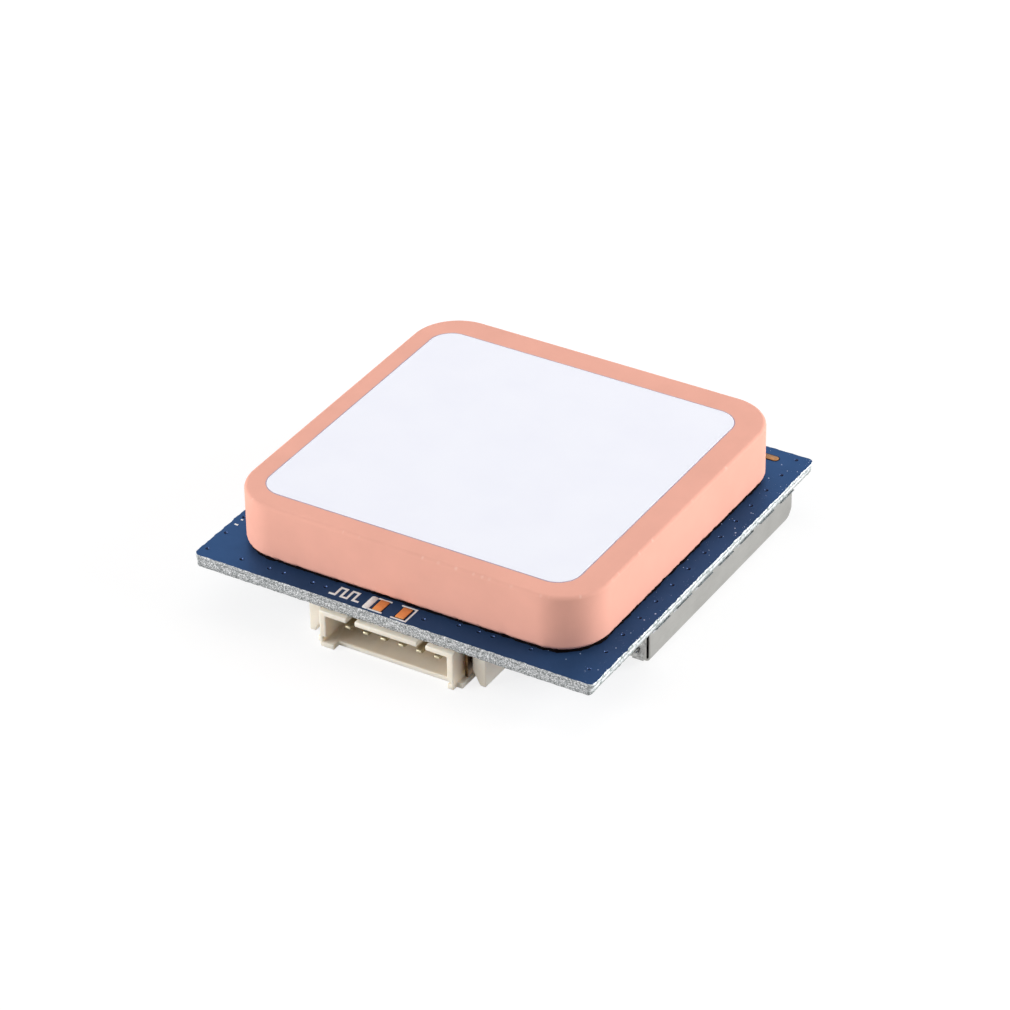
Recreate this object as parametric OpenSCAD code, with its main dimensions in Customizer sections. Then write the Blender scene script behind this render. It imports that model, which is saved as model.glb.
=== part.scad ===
// Satellite navigation receiver module: a square board with a ceramic patch antenna on top,
// and a shield can, a wire socket and its supply parts underneath. Millimetres, +Z up.
// The origin is under the middle of the whole part, level with its lowest face.

/* [Circuit board] */
// Width of the board, left to right
board_w = 28; // [26.5:0.5:32]
// Depth of the board, front to back
board_d = 28; // [26.5:0.5:32]
// Thickness of the board
board_t = 0.8; // [0.6:0.1:1.6]
// Corner radius of the board
board_corner_r = 0.4; // [0.2:0.1:1]
// Thickness of the copper pads on the board
copper_t = 0.035; // [0.018:0.001:0.07]

/* [Antenna] */
// Side of the square ceramic block
antenna_side = 25; // [20:0.5:26]
// Thickness of the ceramic block
ceramic_t = 3.9; // [2:0.1:6]
// Corner radius of the block, seen from above
antenna_corner_r = 3.2; // [1:0.1:5]
// Rounding of the block's upper edge
ceramic_edge_r = 0.25; // [0.1:0.05:0.6]
// Bevel of the block's lower edge
ceramic_bevel = 0.35; // [0.1:0.05:0.6]
// Width of the electrode on top of the block
electrode_w = 21.7; // [15:0.1:22.5]
// Depth of the electrode on top of the block
electrode_d = 21.5; // [15:0.1:22.5]
// Corner radius of the electrode
electrode_corner_r = 1.5; // [0.5:0.1:4]
// Distance of the electrode's middle from the block's middle, to the left
electrode_shift_x = 0.23; // [0:0.01:0.4]
// Distance of the electrode's middle from the block's middle, to the front
electrode_shift_y = 0.24; // [0:0.01:0.4]
// Thickness of the fired silver layers
silver_t = 0.02; // [0.01:0.005:0.05]
// Thickness of the adhesive under the block
tape_t = 0.08; // [0.05:0.01:0.3]
// Margin of the adhesive and the ground layer inside the block's side
tape_margin = 0.6; // [0.4:0.1:2]
// Diameter of the feed pin
feed_d = 0.8; // [0.5:0.1:1.2]
// Distance of the feed pin from the block's middle, to the front
feed_offset = 1.8; // [0:0.1:3]
// Length of the feed pin that stands out under the board
feed_stub = 0.7; // [0.4:0.1:1]

/* [Shield can] */
// Height of the can below the board
can_h = 2.3; // [1.9:0.1:2.6]
// Thickness of the can's sheet
can_t = 0.15; // [0.1:0.01:0.25]
// Outer radius of the can's bends
can_bend_r = 0.4; // [0.3:0.05:0.8]
// Outer radius of the bend along the can's back
can_back_r = 1.6; // [0.8:0.1:1.6]
// Length by which each wall stops short of a corner
can_corner_gap = 0.2; // [0.2:0.01:0.5]
// Distance of the can from the board's right edge
can_side_inset = 0.4; // [0.2:0.1:1.5]
// Distance of the can from the board's back edge
can_back_inset = 2.15; // [1.5:0.05:3.5]
// Width of the strip for the supply parts, from the board's left edge to the can
supply_strip_w = 7.6; // [7:0.1:9]
// Depth of the strip for the chip resistors, from the contacts' feet to the can
signal_strip_d = 1.95; // [1.5:0.05:3]

/* [Socket] */
// Number of contacts
ways = 6; // [4:1:8]
// Distance between contacts
pitch = 1.25; // [1.25:0.25:1.5]
// Height of the socket below the board
socket_h = 2.6; // [2.2:0.1:3.4]
// Depth of the socket's housing, front to back
socket_d = 4.6; // [4:0.1:5]
// Distance of the socket's mouth past the board's front edge
mouth_past = 0.35; // [0:0.05:1.5]
// Distance from the outer contacts to the housing's sides
socket_end = 1.575; // [1.3:0.025:2]
// Thickness of the lips on the board's side of the mouth
lip_t = 0.35; // [0.25:0.05:0.5]
// Thickness of the end walls
end_wall_t = 0.45; // [0.35:0.05:0.6]
// Thickness of the end walls beside the floor, where a groove is let into them
groove_wall_t = 0.2; // [0.15:0.05:0.3]
// Height of the groove in the end walls
groove_h = 0.4; // [0.2:0.05:0.6]
// Thickness of the floor
floor_t = 0.35; // [0.3:0.05:0.7]
// Distance of the floor's front edge behind the mouth
floor_setback = 0.6; // [0.2:0.05:1]
// Width of the floor's foot beside the left end wall, which reaches to the mouth
floor_foot_w = 0.55; // [0.3:0.05:0.8]
// Depth of the mouth
mouth_d = 3.2; // [2.5:0.1:3.4]
// Width of the two slots between the lips
slot_w = 0.6; // [0.4:0.05:0.8]
// Distance between the two slots
slot_spacing = 4.95; // [3.5:0.05:5.5]
// Length of the two slots
slot_d = 2; // [1:0.1:2.5]
// Width of a contact
contact_w = 0.35; // [0.25:0.05:0.5]
// Thickness of a contact
contact_t = 0.35; // [0.25:0.05:0.5]
// Distance of the contacts' tips behind the mouth
contact_recess = 0.7; // [0.3:0.05:1.2]
// Length of a contact's solder foot
contact_foot = 0.8; // [0.5:0.1:1]
// Gap between an end wall and its ear
ear_gap = 0.6; // [0.5:0.05:0.9]
// Width of an ear
ear_w = 0.9; // [0.7:0.05:1.4]
// Distance of an ear's front behind the mouth
ear_setback = 1.2; // [0.8:0.05:1.6]
// Depth of an ear
ear_d = 2.8; // [2.2:0.1:3]
// Thickness of the fitting nails
nail_t = 0.2; // [0.15:0.01:0.25]

/* [Supply parts] */
// Diameter of the backup cell
cell_d = 4.8; // [4:0.1:5.2]
// Thickness of the backup cell
cell_t = 1.2; // [0.8:0.1:1.3]
// Thickness of the cell's tabs
tab_t = 0.1; // [0.08:0.01:0.15]
// Width of the cell's tabs
tab_w = 1.6; // [1:0.1:2.5]

/* [Hidden] */
$fn = 64;

// Clearance of a pin in its hole and of a contact in its channel
fit_gap = 0.03;
// Overlap that lets a cut run past the face it opens
cut = 0.5;

// Standard chip sizes, length, width and height
size_0402 = [1.0, 0.5, 0.5];
size_0603 = [1.6, 0.8, 0.8];
receiver_size = [5, 5, 0.85];
memory_size = [3, 2, 0.6];
oscillator_size = [2.5, 2, 0.8];
crystal_size = [3.2, 1.5, 0.8];
filter_size = [1.4, 1.1, 0.6];
amplifier_size = [1.5, 1, 0.5];
diode_size = [1.6, 0.8, 0.7];
regulator_size = [2.9, 1.6, 1.05];
regulator_lead_pitch = 0.95;
regulator_lead = [0.4, 0.6, 0.15];

// The board's underside stands this far above the lowest face
underside_z = max(socket_h, can_h);
// The board's middle lies this far behind the middle of the whole part
board_y = mouth_past / 2;

// Heights above the board's underside
tape_z = board_t;
ground_z = tape_z + tape_t;
ceramic_z = ground_z + silver_t;
electrode_z = ceramic_z + ceramic_t;

// Hole round the feed pin in the layers under the block
feed_clear_gap = 0.7;
feed_clear_d = feed_d + 2 * feed_clear_gap;

// Solder cone round the feed pin, with a thin rim at its tip
solder_spread = 0.6;
solder_rim = 0.12;
feed_solder_d = feed_d + 2 * solder_spread;
feed_solder_h = 0.85 * feed_stub;

// Socket, with the mouth's middle at the board's underside as its zero
mouth_y = -board_d / 2 - mouth_past;
socket_w = (ways - 1) * pitch + 2 * socket_end;
contact_z = -0.45 * socket_h;
contact_back = socket_d + 2 * contact_t;
contact_end = contact_back + contact_foot - contact_t;
ear_x = socket_w / 2 + ear_gap;
nail_slack = 0.1;
ear_relief = nail_t + nail_slack;
ear_chamfer = 0.5;
ledge_w = 0.4;
ledge_h = 0.4;
ledge_setback = 0.4;
web_d = 1.2;
nail_lead = 0.2;
nail_setback = ear_setback - nail_lead;
nail_drop = socket_h - ledge_h - nail_slack;
nail_foot_w = 1;

// The can fills the room between the two strips of parts and its distances from the edges
can_left = -board_w / 2 + supply_strip_w;
can_right = board_w / 2 - can_side_inset;
can_front = mouth_y + contact_end + signal_strip_d;
can_back = board_d / 2 - can_back_inset;
can_w = can_right - can_left;
can_d = can_back - can_front;
can_x = (can_left + can_right) / 2;
can_y = (can_front + can_back) / 2;

// Chips under the can, from its middle
receiver_at = [5, -0.6];
memory_at = [-1.2, 3];
oscillator_at = [5, 4.8];
crystal_at = [-1.2, 6];
bypass_at = [3, -4.2];
bypass_pitch = 1.3;
bypass_count = 4;

// Chain of parts from the feed pin towards the receiver, each a gap from the last
chain_gap = 0.45;
coil_x = feed_solder_d / 2 + chain_gap + size_0402[1] / 2;
amplifier_x = coil_x + size_0402[1] / 2 + chain_gap + amplifier_size[0] / 2;
filter_x = amplifier_x + amplifier_size[0] / 2 + chain_gap + filter_size[0] / 2;

// Supply parts stand on the strip of board to the left of the can
strip_x = -board_w / 2 + supply_strip_w / 2;
cell_y = can_y;
tab_reach = 0.5;
tab_foot = 0.8;
regulator_inset = 4.6;
regulator_y = -board_d / 2 + regulator_inset;
supply_spread = 2.6;
bead_offset = 2.2;
diode_offset = 2.3;
row_y = can_front - signal_strip_d / 2;

// Indicator pads fill the margin between the board's front edge and the block
front_margin = (board_d - antenna_side) / 2;
indicator_front_gap = 0.35;
indicator_back_gap = 0.05;
indicator_pad = [0.62, front_margin - indicator_front_gap - indicator_back_gap];
indicator_spacing = 1.6;
indicator_x = -0.23;

// Oval pad, from the board's right and back edges
edge_pad_size = [1.4, 0.5];
edge_pad_inset = [2.75, 1.1];
edge_pad_r = 0.49 * edge_pad_size[1];

// Places a child that is drawn about the board's middle, with zero at the board's underside
module on_board() {
    translate([0, board_y, underside_z]) children();
}

// Places a child that is drawn about the mouth's middle, with Y running into the housing
module at_mouth() {
    on_board() translate([0, mouth_y, 0]) children();
}

// Flat rectangle with round corners, about its middle
module rounded_rectangle(w, d, r) {
    square([w - 2 * r, d], center = true);
    square([w, d - 2 * r], center = true);
    for (x = [-1, 1], y = [-1, 1])
        translate([x * (w / 2 - r), y * (d / 2 - r)]) circle(r);
}

// Block that hangs from the board's underside, about its middle
module hanging_block(size) {
    translate([-size[0] / 2, -size[1] / 2, -size[2]]) cube(size);
}

// Half of a block's section at a round corner: bevelled below, rounded above
module corner_section(r, h, edge_r, bevel) {
    polygon([[0, 0], [r - bevel, 0], [r, bevel], [r, h - edge_r], [r - edge_r, h - edge_r], [r - edge_r, h],
             [0, h]]);
    translate([r - edge_r, h - edge_r]) intersection() {
        circle(edge_r);
        square(edge_r);
    }
}

// Whole section of that block, across a straight stretch of its sides
module block_section(span, r, h, edge_r, bevel) {
    translate([-span / 2, 0]) square([span, h]);
    for (s = [0, 1])
        mirror([s, 0]) translate([span / 2, 0]) corner_section(r, h, edge_r, bevel);
}

// Square block with round corners, a rounded upper edge and a bevelled lower edge
module soft_block(side, h, r, edge_r, bevel) {
    span = side - 2 * r;
    for (turn = [0, 90])
        rotate([90, 0, turn]) translate([0, 0, -span / 2])
            linear_extrude(span) block_section(span, r, h, edge_r, bevel);
    for (x = [-1, 1], y = [-1, 1])
        translate([x * span / 2, y * span / 2, 0]) rotate_extrude() corner_section(r, h, edge_r, bevel);
}

module circuit_board() {
    color("#2b4a78") on_board() difference() {
        linear_extrude(board_t) rounded_rectangle(board_w, board_d, board_corner_r);
        translate([0, -feed_offset, -cut]) cylinder(d = feed_d + 2 * fit_gap, h = board_t + 2 * cut);
    }
}

module indicator_pads() {
    color("#bf8052") on_board()
        for (s = [-1, 1])
            translate([indicator_x + s * indicator_spacing / 2 - indicator_pad[0] / 2,
                       -board_d / 2 + indicator_front_gap, board_t])
                cube([indicator_pad[0], indicator_pad[1], copper_t]);
}

module edge_pad() {
    color("#b5793f") on_board()
        translate([board_w / 2 - edge_pad_inset[0], board_d / 2 - edge_pad_inset[1], board_t])
            linear_extrude(copper_t)
                rounded_rectangle(edge_pad_size[0], edge_pad_size[1], edge_pad_r);
}

// Layer under the ceramic block, with a round hole for the feed pin
module antenna_layer(z, t) {
    side = antenna_side - 2 * tape_margin;
    on_board() translate([0, 0, z]) linear_extrude(t) difference() {
        rounded_rectangle(side, side, antenna_corner_r - tape_margin / 2);
        translate([0, -feed_offset]) circle(d = feed_clear_d);
    }
}

module antenna_tape() {
    color("#2a2622") antenna_layer(tape_z, tape_t);
}

module antenna_ground() {
    color("#c9c9d2") antenna_layer(ground_z, silver_t);
}

module antenna_ceramic() {
    color("#ebb2a3") on_board() translate([0, 0, ceramic_z]) difference() {
        soft_block(antenna_side, ceramic_t, antenna_corner_r, ceramic_edge_r, ceramic_bevel);
        translate([0, -feed_offset, -cut]) cylinder(d = feed_d + 2 * fit_gap, h = ceramic_t + 2 * cut);
    }
}

module antenna_electrode() {
    color("#f1f1fe") on_board()
        translate([-electrode_shift_x, -electrode_shift_y, electrode_z])
            linear_extrude(silver_t) rounded_rectangle(electrode_w, electrode_d, electrode_corner_r);
}

module feed_pin() {
    color("#c9b26a") on_board()
        translate([0, -feed_offset, -feed_stub]) cylinder(d = feed_d, h = feed_stub + electrode_z);
}

module feed_solder() {
    color("#b8bac0") on_board() translate([0, -feed_offset, 0]) rotate_extrude()
        polygon([[feed_d / 2, 0], [feed_solder_d / 2, 0], [feed_d / 2 + solder_rim, -feed_solder_h],
                 [feed_d / 2, -feed_solder_h]]);
}

// Outline of a channel that opens upwards, with round lower corners of radius r0 and r1
module channel_outline(w, h, r0, r1) {
    translate([-w / 2, r0]) square([w / 2, h - r0]);
    translate([0, r1]) square([w / 2, h - r1]);
    translate([-w / 2 + r0, 0]) square([w - r0 - r1, h]);
    translate([-w / 2 + r0, r0]) lower_half_disc(r0);
    translate([w / 2 - r1, r1]) lower_half_disc(r1);
}

module lower_half_disc(r) {
    intersection() {
        circle(r);
        translate([-r, -r]) square([2 * r, r]);
    }
}

// Bent sheet channel, open upwards, about its middle: two walls of the can and the face between them
module sheet_channel(w, length, r1) {
    rotate([90, 0, 0]) translate([0, 0, -length / 2]) linear_extrude(length) difference() {
        channel_outline(w, can_h, can_bend_r, r1);
        translate([0, can_t]) channel_outline(w - 2 * can_t, can_h, can_bend_r - can_t, r1 - can_t);
    }
}

// Room inside the outline of the front and back walls, which the side walls keep to
module can_room() {
    length = can_w + 2 * cut;
    rotate([90, 0, 90]) translate([0, 0, -length / 2]) linear_extrude(length)
        channel_outline(can_d, can_h + cut, can_bend_r, can_back_r);
}

module shield_can() {
    color("#b7b5b1") on_board() translate([can_x, can_y, -can_h]) {
        intersection() {
            sheet_channel(can_w, can_d - 2 * can_corner_gap, can_bend_r);
            can_room();
        }
        rotate([0, 0, 90]) sheet_channel(can_d, can_w - 2 * can_corner_gap, can_back_r);
    }
}

// A part on the board's underside inside the can, placed from the can's middle
module in_can(at) {
    on_board() translate([can_x + at[0], can_y + at[1], 0]) children();
}

// A part on the board's underside beside the feed pin
module by_feed(x) {
    on_board() translate([x, -feed_offset, 0]) children();
}

module receiver_chip() {
    color("#2c2c2e") in_can(receiver_at) hanging_block(receiver_size);
}

module memory_chip() {
    color("#303033") in_can(memory_at) hanging_block(memory_size);
}

module clock_oscillator() {
    color("#c2b68c") in_can(oscillator_at) hanging_block(oscillator_size);
}

module watch_crystal() {
    color("#c6c7c9") in_can(crystal_at) hanging_block(crystal_size);
}

module amplifier_chip() {
    color("#2c2c2e") by_feed(amplifier_x) hanging_block(amplifier_size);
}

module saw_filter() {
    color("#d9cfae") by_feed(filter_x) hanging_block(filter_size);
}

module matching_coils() {
    color("#4d5a52")
        for (s = [-1, 1]) by_feed(s * coil_x) rotate([0, 0, 90]) hanging_block(size_0402);
}

module bypass_capacitors() {
    color("#a3835f")
        for (i = [0 : bypass_count - 1])
            in_can(bypass_at + [i * bypass_pitch, 0]) rotate([0, 0, 90]) hanging_block(size_0402);
}

// Supply regulator: a moulded body with three leads on one side and two on the other
module regulator() {
    body = regulator_size;
    lead = regulator_lead;
    color("#2c2c2e") on_board() translate([strip_x, regulator_y, 0]) {
        translate([0, 0, -lead[2]]) hanging_block([body[0], body[1], body[2] - lead[2]]);
        for (i = [-1 : 1]) regulator_lead_at(i * regulator_lead_pitch, -1);
        for (i = [-1, 1]) regulator_lead_at(i * regulator_lead_pitch, 1);
    }
}

// One lead of the regulator, from under the body's edge out on to the board
module regulator_lead_at(x, side) {
    translate([x, side * (regulator_size[1] + regulator_lead[1]) / 2, 0])
        hanging_block([regulator_lead[0], 2 * regulator_lead[1], regulator_lead[2]]);
}

module supply_capacitors() {
    color("#a3835f")
        for (s = [-1, 1])
            on_board() translate([strip_x + s * supply_spread, regulator_y, 0])
                rotate([0, 0, 90]) hanging_block(size_0603);
}

module ferrite_bead() {
    color("#3b3b40") on_board()
        translate([strip_x, regulator_y - bead_offset, 0]) hanging_block(size_0603);
}

module surge_diode() {
    color("#2f2f31") on_board()
        translate([strip_x, regulator_y + diode_offset, 0]) hanging_block(diode_size);
}

module signal_resistors() {
    color("#27272a")
        for (i = [1 : ways])
            on_board() translate([contact_x(i), row_y, 0]) rotate([0, 0, 90]) hanging_block(size_0402);
}

// Backup cell: a shallow cup with a smaller cap, between its two tabs
module backup_cell() {
    cap_t = 0.2 * cell_t;
    color("#c4c6c8") on_board() translate([strip_x, cell_y, -tab_t]) {
        translate([0, 0, -(cell_t - cap_t)]) cylinder(d = cell_d, h = cell_t - cap_t);
        translate([0, 0, -cell_t]) cylinder(d = 0.75 * cell_d, h = cap_t);
    }
}

// Tab between the board and the cell, reaching out to the back
module cell_tab_base() {
    color("#bfc0c2") on_board() translate([strip_x - tab_w / 2, cell_y, -tab_t])
        cube([tab_w, cell_d / 2 + tab_reach + tab_foot, tab_t]);
}

// Tab over the cell's cap, bent up to the board in front of the cell
module cell_tab_cap() {
    out = -cell_d / 2 - tab_reach;
    low = -cell_t - 2 * tab_t;
    color("#bfc0c2") on_board() translate([strip_x - tab_w / 2, cell_y, 0])
        rotate([90, 0, 90]) linear_extrude(tab_w)
            polygon([[0, low], [out, low], [out, -tab_t], [out - tab_foot, -tab_t], [out - tab_foot, 0],
                     [out + tab_t, 0], [out + tab_t, low + tab_t], [0, low + tab_t]]);
}

// Place of a contact across the socket, counted from the left
function contact_x(i) = (i - (ways + 1) / 2) * pitch;

// Ear, ledge and web on the right side of the housing
module housing_side() {
    translate([socket_w / 2, ledge_setback, -socket_h])
        cube([ledge_w, ear_setback + ear_d - ledge_setback, ledge_h]);
    translate([socket_w / 2, ear_setback + ear_d - web_d, -socket_h])
        cube([ear_gap + ear_w, web_d, socket_h - ear_relief]);
    translate([ear_x, ear_setback + ear_d, 0]) rotate([90, 0, 0]) linear_extrude(ear_d)
        polygon([[0, -ear_relief], [ear_w, -ear_relief], [ear_w, -socket_h], [ear_chamfer, -socket_h],
                 [0, -socket_h + 2 * ear_chamfer]]);
}

module connector_housing() {
    color("#d9ccba") at_mouth() difference() {
        union() {
            translate([-socket_w / 2, 0, -socket_h]) cube([socket_w, socket_d, socket_h]);
            housing_side();
            mirror([1, 0, 0]) housing_side();
        }
        housing_mouth();
        for (i = [1 : ways]) contact_channel(i);
    }
}

// Space inside the mouth: the cavity, the grooves beside the floor, the cut-back floor and the lip slots
module housing_mouth() {
    inner_w = socket_w - 2 * end_wall_t;
    groove_w = socket_w - 2 * groove_wall_t;
    setback_w = inner_w - floor_foot_w;
    floor_z = -socket_h + floor_t;
    translate([-inner_w / 2, -cut, floor_z]) cube([inner_w, mouth_d + cut, -floor_z - lip_t]);
    translate([-groove_w / 2, -cut, floor_z]) cube([groove_w, mouth_d + cut, groove_h]);
    translate([inner_w / 2 - setback_w, -cut, -socket_h - cut])
        cube([setback_w, floor_setback + cut, floor_t + 2 * cut]);
    for (s = [-1, 1])
        translate([s * slot_spacing / 2 - slot_w / 2, -cut, -lip_t - cut])
            cube([slot_w, slot_d + cut, lip_t + 2 * cut]);
}

// Channel for a contact through the housing's back wall
module contact_channel(i) {
    w = contact_w + 2 * fit_gap;
    t = contact_t + 2 * fit_gap;
    translate([contact_x(i) - w / 2, mouth_d - cut, contact_z - t / 2])
        cube([w, socket_d - mouth_d + 2 * cut, t]);
}

// Contact: a pin with a pointed tip, bent up behind the housing to a foot on the board
module contact(i) {
    tip = contact_recess;
    low = contact_z - contact_t / 2;
    high = contact_z + contact_t / 2;
    point = 0.3 * contact_t;
    foot_t = contact_t / 2;
    color("#d8cfae") at_mouth() translate([contact_x(i) - contact_w / 2, 0, 0])
        rotate([90, 0, 90]) linear_extrude(contact_w)
            polygon([[tip, low + point], [tip + 2 * point, low], [contact_back, low],
                     [contact_back, -foot_t], [contact_end, -foot_t], [contact_end, 0],
                     [contact_back - contact_t, 0], [contact_back - contact_t, high],
                     [tip + 2 * point, high], [tip, high - point]]);
}

// Fitting nail on the right side: a plate in the gap beside the end wall, with a foot on the board
module fitting_nail() {
    plate_d = ear_setback + ear_d - web_d - nail_setback;
    x = socket_w / 2 + (ear_gap - nail_t) / 2;
    translate([x, nail_setback, -nail_drop]) cube([nail_t, plate_d, nail_drop]);
    translate([x, nail_setback + (plate_d - nail_foot_w) / 2, -nail_t])
        cube([ear_gap + ear_w, nail_foot_w, nail_t]);
}

module fitting_nail_right() {
    color("#b9b4a6") at_mouth() fitting_nail();
}

module fitting_nail_left() {
    color("#b9b4a6") at_mouth() mirror([1, 0, 0]) fitting_nail();
}

circuit_board();
indicator_pads();
edge_pad();
antenna_tape();
antenna_ground();
antenna_ceramic();
antenna_electrode();
feed_pin();
feed_solder();
shield_can();
receiver_chip();
memory_chip();
clock_oscillator();
watch_crystal();
amplifier_chip();
saw_filter();
matching_coils();
bypass_capacitors();
regulator();
supply_capacitors();
ferrite_bead();
signal_resistors();
surge_diode();
backup_cell();
cell_tab_base();
cell_tab_cap();
connector_housing();
fitting_nail_left();
fitting_nail_right();
for (i = [1 : ways])
    contact(i);
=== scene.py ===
"""Looks of a satellite navigation module: finishes, fine shapes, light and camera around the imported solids.

Lengths are millimetres in the solids' own frame unless a comment says metres. piece() makes them metres.
"""
import math
import random

import bmesh
import bpy
from mathutils import Matrix, Vector, noise


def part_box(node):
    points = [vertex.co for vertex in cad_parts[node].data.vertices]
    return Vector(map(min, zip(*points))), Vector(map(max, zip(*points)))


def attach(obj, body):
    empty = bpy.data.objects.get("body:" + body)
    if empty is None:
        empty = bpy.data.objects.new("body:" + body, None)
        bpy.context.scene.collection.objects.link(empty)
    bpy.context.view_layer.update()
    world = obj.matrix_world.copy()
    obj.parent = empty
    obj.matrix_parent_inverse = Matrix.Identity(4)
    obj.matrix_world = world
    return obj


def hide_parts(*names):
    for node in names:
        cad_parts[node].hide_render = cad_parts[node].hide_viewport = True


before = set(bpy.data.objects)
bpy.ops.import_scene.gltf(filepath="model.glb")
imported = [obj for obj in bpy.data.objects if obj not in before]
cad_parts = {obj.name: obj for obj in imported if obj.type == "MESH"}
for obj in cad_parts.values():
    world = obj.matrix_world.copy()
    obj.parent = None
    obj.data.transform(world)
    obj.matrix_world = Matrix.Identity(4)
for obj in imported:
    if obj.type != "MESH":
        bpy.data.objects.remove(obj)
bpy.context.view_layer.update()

MM = 0.001
PER_MM = 1 / MM
BODY = "root"
JOIN_DISTANCE = 0.001
FLAT_ANGLE = math.radians(0.5)
BEVEL_ANGLE = math.radians(30)
SHARP_ANGLE = math.radians(38)


# Shapes

def box(node):
    """Lowest and highest corner of a solid, in millimetres."""
    lo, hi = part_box(node)
    return lo * PER_MM, hi * PER_MM


def middle_of(node):
    """Middle of a solid's box."""
    lo, hi = box(node)
    return (lo + hi) / 2


def solid_copy(node):
    """A mesh of a solid in millimetres, with its triangles joined into whole faces."""
    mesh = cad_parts[node].data
    bm = bmesh.new()
    corners = [bm.verts.new(v.co * PER_MM) for v in mesh.vertices]
    for polygon in mesh.polygons:
        bm.faces.new([corners[i] for i in polygon.vertices])
    bmesh.ops.remove_doubles(bm, verts=bm.verts, dist=JOIN_DISTANCE)
    bmesh.ops.dissolve_limit(bm, angle_limit=FLAT_ANGLE, verts=bm.verts, edges=bm.edges)
    return bm


def solids(node):
    """Lowest and highest corner of each separate solid in a node, from left to right."""
    bm = solid_copy(node)
    waiting = set(bm.verts)
    found = []
    while waiting:
        front, island = {waiting.pop()}, set()
        while front:
            island |= front
            front = {edge.other_vert(vert) for vert in front for edge in vert.link_edges} - island
        waiting -= island
        lo = Vector(min(v.co[i] for v in island) for i in range(3))
        hi = Vector(max(v.co[i] for v in island) for i in range(3))
        found.append((lo, hi))
    bm.free()
    return sorted(found, key=lambda ends: (round(ends[0].x, 3), round(ends[0].y, 3)))


def round_edges(bm, width, steps):
    """Rounds off every edge that is sharper than BEVEL_ANGLE."""
    sharp = [e for e in bm.edges if e.is_manifold and e.calc_face_angle(0) > BEVEL_ANGLE]
    bmesh.ops.bevel(
        bm, geom=sharp, offset=width, segments=steps, profile=0.5, affect="EDGES", clamp_overlap=False
    )
    return bm


def on_circle(x, y, r, angle):
    """A point on a circle and its outward normal."""
    normal = Vector((math.cos(angle), math.sin(angle)))
    return Vector((x, y)) + r * normal, normal


def rounded_loop(lo, hi, r, step):
    """Points and outward normals round a rectangle with round corners, anticlockwise."""
    turns = max(3, round(r * math.pi / 2 / step))
    # Middle of each corner's curve, and the angle at which that curve starts
    corners = [
        (hi.x - r, lo.y + r, -90),
        (hi.x - r, hi.y - r, 0),
        (lo.x + r, hi.y - r, 90),
        (lo.x + r, lo.y + r, 180),
    ]
    loop = []
    for k, (x, y, start) in enumerate(corners):
        loop += [on_circle(x, y, r, math.radians(start + 90 * i / turns)) for i in range(turns + 1)]
        here, normal = loop[-1]
        after = corners[(k + 1) % 4]
        there = Vector(after[:2]) + r * normal
        count = max(1, round((there - here).length / step))
        loop += [(here.lerp(there, i / count), normal) for i in range(1, count)]
    return loop


def circle_loop(x, y, r, count):
    """Points and outward normals round a circle."""
    return [on_circle(x, y, r, 2 * math.pi * i / count) for i in range(count)]


def ring(bm, loop, inset, z):
    """A ring of points in from the loop. The inset is a number, or a function of a point and its normal."""
    depth = inset if callable(inset) else lambda point, normal: inset
    return [bm.verts.new((*(p - n * depth(p, n)), z)) for p, n in loop]


def ring_edges(bm, verts):
    """The edges round a ring of points."""
    return [bm.edges.get((a, b)) for a, b in zip(verts, verts[1:] + verts[:1])]


def bridge(bm, low, high, material=0):
    """A band of faces between two rings."""
    count = len(low)
    for i in range(count):
        j = (i + 1) % count
        bm.faces.new((low[i], low[j], high[j], high[i])).material_index = material


def skin(bm, rings, material=0):
    """A closed skin over rings of points, from the first to the last."""
    for low, high in zip(rings, rings[1:]):
        bridge(bm, low, high, material)
    bm.faces.new(rings[0][::-1]).material_index = material
    bm.faces.new(rings[-1]).material_index = material


def stack(bm, loop, rows):
    """A closed skin about a loop, where each row is an inset from the loop and a height."""
    skin(bm, [ring(bm, loop, inset, z) for inset, z in rows])


def hoop(bm, loop, rows):
    """A closed section carried round a loop, where each row is an inset from the loop and a height."""
    rings = [ring(bm, loop, inset, z) for inset, z in rows]
    for low, high in zip(rings, rings[1:] + rings[:1]):
        bridge(bm, low, high)


def flat_band(bm, loop, outer, inner, z0, z1):
    """A flat band round a loop, between two insets and two heights."""
    hoop(bm, loop, [(outer, z0), (outer, z1), (inner, z1), (inner, z0)])


def lathe(bm, x, y, profile, count, material=0):
    """A turned solid about an upright axis, from radius and height pairs."""
    skin(bm, [ring(bm, circle_loop(x, y, r, count), 0, z) for r, z in profile], material)


def plate(bm, lo, hi, corner_r, edge_r):
    """A flat rectangle with round corners and a soft upper edge."""
    part_way = 0.3 * edge_r
    rows = [(0, lo.z), (0, hi.z - edge_r), (part_way, hi.z - part_way), (edge_r, hi.z)]
    stack(bm, rounded_loop(lo, hi, corner_r, step=0.05), rows)


def soft_box(bm, lo, hi, r, material=0):
    """A block with rounded edges."""
    made = bmesh.ops.create_cube(bm, size=1)["verts"]
    size, middle = hi - lo, (lo + hi) / 2
    for vert in made:
        vert.co = Vector(vert.co[i] * size[i] + middle[i] for i in range(3))
    edges = list({e for v in made for e in v.link_edges})
    for face in {f for v in made for f in v.link_faces}:
        face.material_index = material
    bmesh.ops.bevel(bm, geom=edges, offset=r, segments=2, profile=0.5, affect="EDGES", material=material)


def prism(bm, outline, place, material=0):
    """A solid between two copies of an outline, where place(point, end) gives a corner at end 0 or 1."""
    skin(bm, [[bm.verts.new(place(p, end)) for p in outline] for end in (0, 1)], material)


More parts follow.
